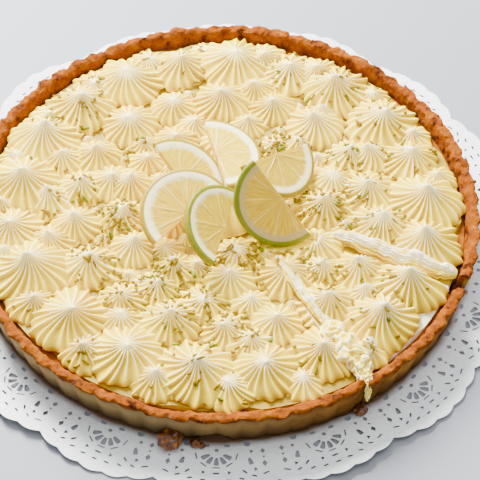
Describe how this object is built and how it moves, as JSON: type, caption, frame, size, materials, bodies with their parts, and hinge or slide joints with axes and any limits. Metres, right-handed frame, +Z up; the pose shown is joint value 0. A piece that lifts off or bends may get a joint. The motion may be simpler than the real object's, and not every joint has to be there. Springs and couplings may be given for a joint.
{
  "type": "lemon pie",
  "caption": "Round lemon pie in a fluted shortcrust shell, topped with piped cream rosettes and lemon half slices, with one slice cut, on a round paper doily.",
  "frame": {"origin": "middle of the doily's underside, on the surface the pie stands on", "axes": "+Z up through the middle of the pie, -Y the front, with the cut slice between -Y and +X"},
  "size_m": [0.356, 0.356, 0.0625],
  "materials": {
    "paper": "matt white pierced paper",
    "pastry": "baked shortcrust, golden with a browned rim",
    "lemon_curd": "set lemon filling, glossy amber yellow",
    "cream": "piped cream, ivory, soft satin",
    "lemon": "fresh lemon: wet flesh, white pith, waxy yellow to lime rind"
  },
  "bodies": {
    "root": {"paper_doily": "paper", "crust_main": "pastry", "crust_slice": "pastry", "lemon_filling_main": "lemon_curd", "lemon_filling_slice": "lemon_curd", "cream_topping_main": "cream", "cream_topping_slice": "cream", "lemon_half_1": "lemon", "lemon_half_2": "lemon", "lemon_half_3": "lemon", "lemon_half_4": "lemon", "lemon_half_5": "lemon", "lemon_half_6": "lemon"}
  },
  "joints": []
}
